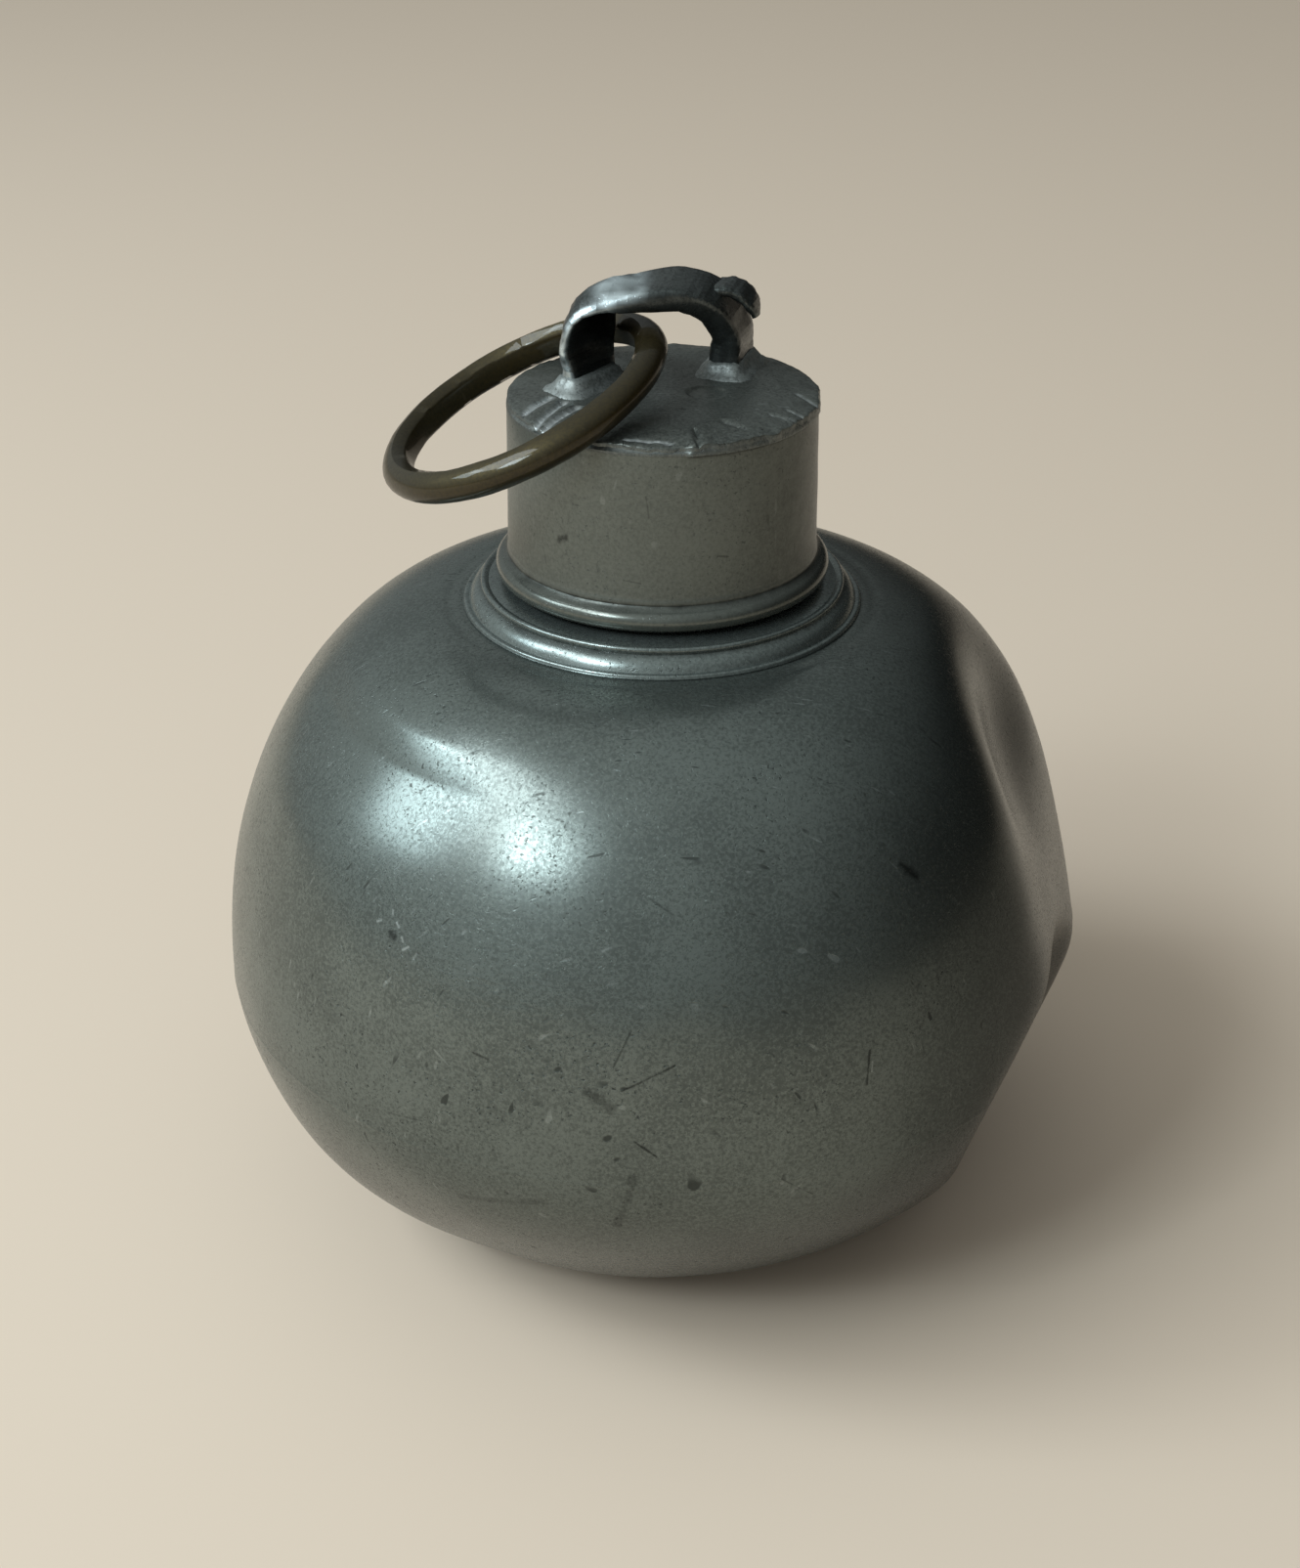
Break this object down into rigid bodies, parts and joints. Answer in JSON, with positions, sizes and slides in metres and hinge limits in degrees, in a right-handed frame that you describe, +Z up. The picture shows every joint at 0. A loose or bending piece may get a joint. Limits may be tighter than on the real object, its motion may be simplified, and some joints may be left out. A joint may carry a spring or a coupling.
{
  "type": "pewter flask",
  "caption": "Squat dented pewter flask with a turned collar, a screw cap, a soldered strap loop on the cap and a brass carrying ring.",
  "frame": {"origin": "centre of the flat base", "axes": "+Z up along the flask's axis, front towards -Y, the ring lies towards -X"},
  "size_m": [0.115, 0.1158, 0.1259],
  "materials": {
    "pewter_bowl": "satin",
    "pewter_shell": "satin",
    "seam_solder": "satin",
    "pewter_neck": "satin",
    "cork": "satin",
    "pewter_cap": "satin",
    "pewter_plate": "satin",
    "pewter_loop": "satin",
    "solder_left": "satin",
    "solder_right": "satin",
    "brass_ring": "satin"
  },
  "bodies": {
    "flask": {"lower_bowl": "pewter_bowl", "upper_shell": "pewter_shell", "belly_solder": "seam_solder", "screw_neck": "pewter_neck"},
    "seal": {"seal_washer": "cork"},
    "cap": {"cap_wall": "pewter_cap", "cap_top": "pewter_plate", "cap_loop": "pewter_loop", "loop_solder_left": "solder_left", "loop_solder_right": "solder_right"},
    "ring": {"carry_ring": "brass_ring"}
  },
  "joints": [
    {"name": "cap_lift", "type": "slide", "parent": "flask", "child": "seal", "axis": [0, 0, 1], "range_m": [0, 0.0175]},
    {"name": "cap_turn", "type": "hinge", "parent": "seal", "child": "cap", "pos_m": [0, 0, 0.1], "axis": [0, 0, 1], "range_deg": [0, 1260]},
    {"name": "ring_swing", "type": "hinge", "parent": "cap", "child": "ring", "pos_m": [-0.0015, -0.0003, 0.1189], "axis": [-0.1736, 0.9848, 0], "range_deg": [0, 220]}
  ],
  "couplings": [
    {"joint": "cap_lift", "follows": "cap_turn", "m_per_rad": 0.0007957}
  ]
}
